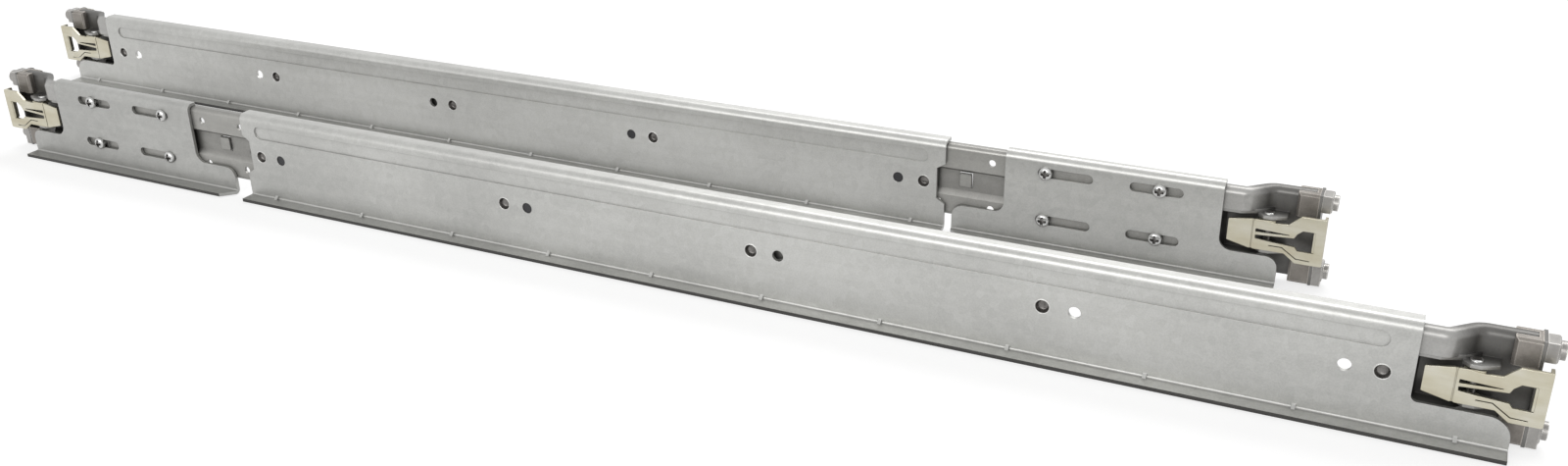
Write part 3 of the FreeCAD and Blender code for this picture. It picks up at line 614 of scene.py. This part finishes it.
def add_stop_button(side):
    """The half-sheared square button that stops the channel, standing proud of its tab."""
    low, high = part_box(f"{side}_channel")
    x = high.x - BUTTON_FROM_END * MM if side == "left" else low.x + BUTTON_FROM_END * MM
    bm = bmesh.new()
    add_mesh(bm, cut_plate([filleted(BUTTON_OUTLINE, 0.9)], 1.0, 0.22), UPRIGHT)
    place = Matrix.Translation((x, server_face(side) + BUTTON_DEPTH * MM, BUTTON_HEIGHT * MM))
    bmesh.ops.transform(bm, matrix=place @ Matrix.Diagonal((MM, MM, MM, 1)), verts=bm.verts)
    bmesh.ops.recalc_face_normals(bm, faces=bm.faces)
    piece = mesh_piece(f"{side}_stop_button", bm, "zinc_channel", f"{side}_channel_body",
                       side_looks[side, "zinc_channel"])
    smooth(piece, 30)


# ---------------------------------------------------------------- latches

# the right front latch, in mm: X along the rail, Y from the plate's face, Z up
TAB = 378.2
FOLD = 388.2
TIP = 417.8
LIP = 413.1
SHEET = 1.2
PIN_X = 394.0
PIN_Y = 5.4
PLATE_LOW = 12.3
PLATE_HIGH = 33.8
PLATE_MIDDLE = (PLATE_LOW + PLATE_HIGH) / 2
HOOK_LENGTH = 21.3
LIP_MIDDLE = 22.7
LIP_LENGTH = 9.2
PIN_HOLE_RADIUS = 1.55
WING_HEIGHTS = (16.6, 29.1)
GROOVE_STEP = (-0.12, -0.38)
WEB_SHEET = 0.8
WEB_DEPTH = 0.78
LATCH_BODY = [(FOLD + 0.5, 16.0), (402.2, 16.0), (407.0, PLATE_LOW), (TIP, PLATE_LOW), (TIP, PLATE_HIGH),
              (407.6, PLATE_HIGH), (402.6, 29.3), (397.0, 29.0), (392.6, 29.7), (FOLD + 0.5, 29.7)]
UPPER_SLIT = [(389.7, 23.9), (403.6, 24.5), (403.6, 24.8), (389.7, 25.5)]
OPENING = [(389.9, 20.9), (396.0, 20.3), (406.2, 19.6), (407.4, 18.0), (414.0, 17.9), (414.0, 27.5),
           (408.8, 27.5), (406.6, 25.6), (405.6, 23.6), (389.7, 22.6)]
STEP_LINE = [(395.8, 18.75), (401.2, 18.75), (407.3, 14.5), (412.9, 14.3)]
PUSH_TAB = [(TAB, 18.4), (FOLD, 16.0), (FOLD, 29.7), (TAB, 28.3)]
FOLD_WEB = [(FOLD - 0.3, 16.2), (FOLD + 0.8, 16.2), (FOLD + 0.8, 29.5), (FOLD - 0.3, 29.5)]
HOOK = [(TIP - SHEET, 0.2), (TIP, 0.2), (TIP, 4.4), (TIP - SHEET, 4.4)]
LIP_OUTLINE = [(LIP, 0.2), (LIP + 1.1, 0.2), (LIP + 1.1, 2.6), (LIP, 2.6)]
WING = [(PIN_X - 3.5, 0.5), (PIN_X + 3.5, 0.5), (PIN_X + 3.5, PIN_Y + 1.47), (PIN_X + 1.47, PIN_Y + 3.5),
        (PIN_X - 1.47, PIN_Y + 3.5), (PIN_X - 3.5, PIN_Y + 1.47)]


def add_latch(side, end):
    """The stamped spring latch, drawn for the right front end and mirrored along X for the others."""
    node = f"{side}_{end}_latch"
    low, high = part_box(node)
    bm = bmesh.new()
    middle = Matrix.Translation((0, SHEET / 2, 0)) @ UPRIGHT
    across, down = GROOVE_STEP
    groove = STEP_LINE + [(x + across, z + down) for x, z in reversed(STEP_LINE)]
    body = [filleted(LATCH_BODY, 0.9), filleted(UPPER_SLIT, 0.35), filleted(OPENING, 0.4), groove]
    add_mesh(bm, cut_plate(body, SHEET), middle)
    add_mesh(bm, cut_plate([filleted(PUSH_TAB, 0.5)], SHEET), middle)
    add_mesh(bm, cut_plate([FOLD_WEB], WEB_SHEET, 0.02), Matrix.Translation((0, WEB_DEPTH, 0)) @ UPRIGHT)
    add_mesh(bm, cut_plate([filleted(HOOK, 0.2)], HOOK_LENGTH), Matrix.Translation((0, 0, PLATE_MIDDLE)))
    add_mesh(bm, cut_plate([filleted(LIP_OUTLINE, 0.25)], LIP_LENGTH), Matrix.Translation((0, 0, LIP_MIDDLE)))
    hole = [(PIN_X + u, PIN_Y + v) for u, v in circle(PIN_HOLE_RADIUS, 24)]
    for z in WING_HEIGHTS:
        add_mesh(bm, cut_plate([filleted(WING, 1.2), hole], SHEET, 0.05), Matrix.Translation((0, 0, z)))
    mirrored = side == "left" if end == "front" else side == "right"
    tip = Matrix.Translation((low.x if mirrored else high.x, low.y, 0))
    scaled = Matrix.Diagonal((-MM if mirrored else MM, MM, MM, 1))
    bmesh.ops.transform(bm, matrix=tip @ scaled @ Matrix.Translation((-TIP, 0, 0)), verts=bm.verts)
    bmesh.ops.remove_doubles(bm, verts=bm.verts, dist=1e-6)
    bmesh.ops.recalc_face_normals(bm, faces=bm.faces)
    piece = mesh_piece(f"{side}_{end}_stamped_latch", bm, "latch_spring_steel", body_of_node(node))
    smooth(piece, 50)
    even = piece.modifiers.new("even", "WEIGHTED_NORMAL")
    even.keep_sharp = True
    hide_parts(node)


PIVOT_PROFILE = [(2.35, 0.0), (2.35, 0.25), (2.1, 0.5), (1.6, 0.58), (1.15, 0.58), (0.95, 0.3), (0.6, 0.12),
                 (0.02, 0.08)]
PIVOT_SEAT = 0.6 * MM


def add_pivot_heads(side, end):
    """Riveted heads of the latch pin, above and below the frame's ears."""
    node = f"{side}_{end}_latch_pin"
    low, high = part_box(node)
    x = (low.x + high.x) / 2
    y = (low.y + high.y) / 2
    bm = bmesh.new()
    for base, way in ((high.z - PIVOT_SEAT, 1), (low.z + PIVOT_SEAT, -1)):
        rings = []
        for radius, rise in PIVOT_PROFILE:
            z = base + way * rise * MM
            rings.append([bm.verts.new((x + u, y + v, z)) for u, v in circle(radius * MM, 40)])
        bridge(bm, rings)
        bm.faces.new(rings[0])
        bm.faces.new(rings[-1])
    bmesh.ops.recalc_face_normals(bm, faces=bm.faces)
    piece = mesh_piece(f"{side}_{end}_pivot_heads", bm, "bright_steel", body_of_node(node))
    smooth(piece, 45)


for side in SIDES:
    add_screws(side)
    add_dimple_cups(side)
    add_stop_button(side)
    for end in ENDS:
        add_latch(side, end)
        add_pivot_heads(side, end)


# ---------------------------------------------------------------- stage, light and camera

FLOOR_HALF = 6.0
FLOOR_BELOW = -0.6 * MM
FLOOR_TONE = 0.42
FLOOR_GLOW = 0.72
WORLD_LIGHT = 0.38
WORLD_SEEN = 0.62
CAMERA_PLACE = (0.3671, -0.5396, 0.2785)
CAMERA_LENS = 32.77
CAMERA_YAW = math.radians(25.938)
CAMERA_PITCH = math.radians(24.464)
CAMERA_ROLL = math.radians(-0.983)


def seen_ray(tree):
    """1 for rays that the camera, a reflection or a glass sees, else 0."""
    path = tree.nodes.new("ShaderNodeLightPath")
    seen = path.outputs["Is Camera Ray"]
    for other in ("Is Glossy Ray", "Is Transmission Ray"):
        add = tree.nodes.new("ShaderNodeMath")
        add.operation = "MAXIMUM"
        tree.links.new(seen, add.inputs[0])
        tree.links.new(path.outputs[other], add.inputs[1])
        seen = add.outputs[0]
    return seen


def floor_white():
    """A pale surface that the camera and reflections see as white, and that keeps shadows."""
    material = bpy.data.materials.new("floor_white")
    material.use_nodes = True
    tree = material.node_tree
    tree.nodes.clear()
    out = tree.nodes.new("ShaderNodeOutputMaterial")
    diffuse = tree.nodes.new("ShaderNodeBsdfDiffuse")
    diffuse.inputs["Color"].default_value = (FLOOR_TONE, FLOOR_TONE, FLOOR_TONE, 1)
    glow = tree.nodes.new("ShaderNodeEmission")
    strength = tree.nodes.new("ShaderNodeMath")
    strength.operation = "MULTIPLY"
    strength.inputs[1].default_value = FLOOR_GLOW
    total = tree.nodes.new("ShaderNodeAddShader")
    tree.links.new(seen_ray(tree), strength.inputs[0])
    tree.links.new(strength.outputs[0], glow.inputs["Strength"])
    tree.links.new(diffuse.outputs[0], total.inputs[0])
    tree.links.new(glow.outputs[0], total.inputs[1])
    tree.links.new(total.outputs[0], out.inputs["Surface"])
    return material


def make_floor():
    mesh = bpy.data.meshes.new("floor")
    corners = [(-1, -1), (1, -1), (1, 1), (-1, 1)]
    mesh.from_pydata([(FLOOR_HALF * x, FLOOR_HALF * y, FLOOR_BELOW) for x, y in corners], [], [(0, 1, 2, 3)])
    floor = bpy.data.objects.new("floor", mesh)
    scene.collection.objects.link(floor)
    mesh.materials.append(floor_white())


def make_world():
    world = bpy.data.worlds.new("studio")
    scene.world = world
    world.use_nodes = True
    tree = world.node_tree
    background = tree.nodes["Background"]
    sky = tree.nodes.new("ShaderNodeMath")
    sky.operation = "MULTIPLY_ADD"
    sky.inputs[1].default_value = WORLD_SEEN
    sky.inputs[2].default_value = WORLD_LIGHT
    tree.links.new(seen_ray(tree), sky.inputs[0])
    tree.links.new(sky.outputs[0], background.inputs["Strength"])
    background.inputs["Color"].default_value = (1, 1, 1, 1)


def area_light(name, place, size, power):
    """A lamp of size (width, height) in metres that looks at the origin."""
    light = bpy.data.lights.new(name, "AREA")
    light.shape = "RECTANGLE"
    light.size, light.size_y = size
    light.energy = power
    lamp = bpy.data.objects.new(name, light)
    scene.collection.objects.link(lamp)
    lamp.location = place
    lamp.rotation_euler = (-Vector(place)).to_track_quat("-Z", "Y").to_euler()


def make_camera():
    """Seen from the front right and above, with the lens that frames both rails."""
    forward = Vector((-math.sin(CAMERA_YAW) * math.cos(CAMERA_PITCH),
                      math.cos(CAMERA_YAW) * math.cos(CAMERA_PITCH), -math.sin(CAMERA_PITCH)))
    right = Vector((math.cos(CAMERA_YAW), math.sin(CAMERA_YAW), 0))
    up = right.cross(forward)
    across = right * math.cos(CAMERA_ROLL) + up * math.sin(CAMERA_ROLL)
    upward = up * math.cos(CAMERA_ROLL) - right * math.sin(CAMERA_ROLL)
    camera = bpy.data.objects.new("camera", bpy.data.cameras.new("camera"))
    camera.data.sensor_width = 36.0
    camera.data.lens = CAMERA_LENS
    camera.data.clip_start = 0.01
    camera.data.clip_end = 50.0
    axes = Matrix((across, upward, -forward)).transposed()
    camera.matrix_world = Matrix.Translation(CAMERA_PLACE) @ axes.to_4x4()
    scene.collection.objects.link(camera)
    scene.camera = camera


make_floor()
make_world()
area_light("key", (-0.2, -2.2, 0.9), (2.0, 1.0), 22.0)
area_light("top", (0.2, 1.3, 1.7), (2.4, 0.9), 27.0)
make_camera()
scene.view_settings.view_transform = "Standard"
